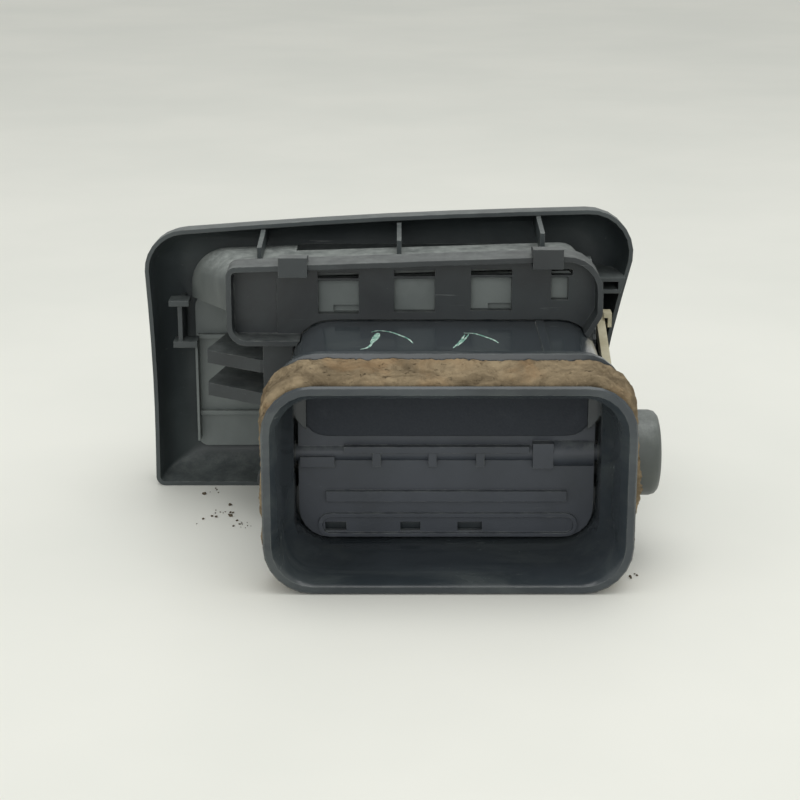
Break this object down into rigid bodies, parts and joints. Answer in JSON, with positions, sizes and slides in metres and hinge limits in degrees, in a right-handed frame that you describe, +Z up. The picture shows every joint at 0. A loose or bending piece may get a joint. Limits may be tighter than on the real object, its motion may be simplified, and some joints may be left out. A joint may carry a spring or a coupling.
{
  "type": "car dashboard side air vent",
  "caption": "Trapezoid car dashboard side air vent with tilting louvres, steering vanes, a thumbwheel damper and a rear duct with a foam seal.",
  "frame": {"origin": "centre of the bounding box's base", "axes": "+X to the right seen from behind and along the longest side, +Y forward from the duct mouth to the front skin, +Z up"},
  "size_m": [0.156, 0.1122, 0.0915],
  "materials": {
    "trim_plastic": "fine-grained satin moulding",
    "housing_plastic": "smooth satin moulding",
    "gloss_black_plastic": "polished moulding with fine scratches",
    "satin_grey_plastic": "satin moulding",
    "foam": "aged open-cell foam",
    "natural_acetal": "natural uncoloured moulding",
    "screw_steel": "zinc plated",
    "seal_rubber": "closed-cell pad"
  },
  "bodies": {
    "housing": {"fascia": "trim_plastic", "blank_panel": "satin_grey_plastic", "opening_ring": "satin_grey_plastic", "barrel": "housing_plastic", "rear_collar": "housing_plastic", "upper_deflector": "satin_grey_plastic", "retaining_clip_left": "satin_grey_plastic", "retaining_clip_right": "satin_grey_plastic", "collar_screw_left": "screw_steel", "collar_screw_right": "screw_steel", "fascia_screw_left": "screw_steel", "fascia_screw_right": "screw_steel", "air_duct": "gloss_black_plastic", "foam_seal": "foam", "damper_bush_left": "natural_acetal", "damper_bush_right": "natural_acetal", "thumbwheel_pin": "screw_steel", "blade_carrier_left": "housing_plastic", "blade_carrier_right": "housing_plastic", "vane_rail_upper": "housing_plastic", "vane_rail_lower": "housing_plastic"},
    "thumbwheel": {"thumbwheel": "trim_plastic"},
    "damper_link": {"damper_link": "natural_acetal"},
    "damper": {"damper_flap": "housing_plastic", "damper_seal_upper": "seal_rubber", "damper_seal_lower": "seal_rubber", "damper_wheel": "housing_plastic"},
    "blade_1": {"louvre_blade_1": "trim_plastic"},
    "blade_2": {"louvre_blade_2": "trim_plastic"},
    "blade_3": {"louvre_blade_3": "trim_plastic"},
    "blade_4": {"louvre_blade_4": "trim_plastic"},
    "blade_5": {"louvre_blade_5": "trim_plastic"},
    "blade_link": {"blade_link": "natural_acetal"},
    "knob": {"control_knob": "trim_plastic"},
    "vane_1": {"steering_vane_1": "trim_plastic"},
    "vane_2": {"steering_vane_2": "trim_plastic"},
    "vane_3": {"steering_vane_3": "trim_plastic"},
    "vane_4": {"steering_vane_4": "trim_plastic"},
    "vane_5": {"steering_vane_5": "trim_plastic"},
    "vane_link": {"vane_link": "natural_acetal"}
  },
  "joints": [
    {"name": "thumbwheel_turn", "type": "hinge", "parent": "housing", "child": "thumbwheel", "pos_m": [0.0615, 0.03386, 0.0545], "axis": [1, 0, 0], "range_deg": [-78, 0]},
    {"name": "damper_link_pivot", "type": "hinge", "parent": "thumbwheel", "child": "damper_link", "pos_m": [0.0658, 0.02806, 0.05841], "axis": [1, 0, 0], "range_deg": [0, 78]},
    {"name": "damper_turn", "type": "hinge", "parent": "housing", "child": "damper", "pos_m": [0.0164, -0.02514, 0.032], "axis": [1, 0, 0], "range_deg": [-78, 0]},
    {"name": "blade_1_tilt", "type": "hinge", "parent": "housing", "child": "blade_1", "pos_m": [0.0119, 0.03686, 0.027], "axis": [1, 0, 0], "range_deg": [-25, 25]},
    {"name": "blade_2_tilt", "type": "hinge", "parent": "housing", "child": "blade_2", "pos_m": [0.0119, 0.03686, 0.0375], "axis": [1, 0, 0], "range_deg": [-25, 25]},
    {"name": "blade_3_tilt", "type": "hinge", "parent": "housing", "child": "blade_3", "pos_m": [0.0119, 0.03686, 0.048], "axis": [1, 0, 0], "range_deg": [-25, 25]},
    {"name": "blade_4_tilt", "type": "hinge", "parent": "housing", "child": "blade_4", "pos_m": [0.0119, 0.03686, 0.0585], "axis": [1, 0, 0], "range_deg": [-25, 25]},
    {"name": "blade_5_tilt", "type": "hinge", "parent": "housing", "child": "blade_5", "pos_m": [0.0119, 0.03686, 0.069], "axis": [1, 0, 0], "range_deg": [-25, 25]},
    {"name": "blade_link_pivot", "type": "hinge", "parent": "blade_3", "child": "blade_link", "pos_m": [-0.0315, 0.03086, 0.048], "axis": [1, 0, 0], "range_deg": [-25, 25]},
    {"name": "knob_slide", "type": "slide", "parent": "blade_3", "child": "knob", "axis": [1, 0, 0], "range_m": [-0.00685, 0.00685]},
    {"name": "vane_1_turn", "type": "hinge", "parent": "housing", "child": "vane_1", "pos_m": [-0.0241, 0.01586, 0.048], "axis": [0, 0, 1], "range_deg": [-35, 35]},
    {"name": "vane_2_turn", "type": "hinge", "parent": "housing", "child": "vane_2", "pos_m": [-0.0061, 0.01586, 0.048], "axis": [0, 0, 1], "range_deg": [-35, 35]},
    {"name": "vane_3_turn", "type": "hinge", "parent": "housing", "child": "vane_3", "pos_m": [0.0119, 0.01586, 0.048], "axis": [0, 0, 1], "range_deg": [-35, 35]},
    {"name": "vane_4_turn", "type": "hinge", "parent": "housing", "child": "vane_4", "pos_m": [0.0299, 0.01586, 0.048], "axis": [0, 0, 1], "range_deg": [-35, 35]},
    {"name": "vane_5_turn", "type": "hinge", "parent": "housing", "child": "vane_5", "pos_m": [0.0479, 0.01586, 0.048], "axis": [0, 0, 1], "range_deg": [-35, 35]},
    {"name": "vane_link_pivot", "type": "hinge", "parent": "vane_3", "child": "vane_link", "pos_m": [0.0119, 0.00986, 0.0151], "axis": [0, 0, 1], "range_deg": [-35, 35]}
  ],
  "couplings": [
    {"joint": "damper_turn", "follows": "thumbwheel_turn", "ratio": 1},
    {"joint": "damper_link_pivot", "follows": "thumbwheel_turn", "ratio": -1},
    {"joint": "blade_1_tilt", "follows": "blade_3_tilt", "ratio": 1},
    {"joint": "blade_2_tilt", "follows": "blade_3_tilt", "ratio": 1},
    {"joint": "blade_4_tilt", "follows": "blade_3_tilt", "ratio": 1},
    {"joint": "blade_5_tilt", "follows": "blade_3_tilt", "ratio": 1},
    {"joint": "blade_link_pivot", "follows": "blade_3_tilt", "ratio": -1},
    {"joint": "vane_1_turn", "follows": "knob_slide", "rad_per_m": -88.8},
    {"joint": "vane_2_turn", "follows": "knob_slide", "rad_per_m": -88.8},
    {"joint": "vane_3_turn", "follows": "knob_slide", "rad_per_m": -88.8},
    {"joint": "vane_4_turn", "follows": "knob_slide", "rad_per_m": -88.8},
    {"joint": "vane_5_turn", "follows": "knob_slide", "rad_per_m": -88.8},
    {"joint": "vane_link_pivot", "follows": "knob_slide", "rad_per_m": 88.8}
  ]
}
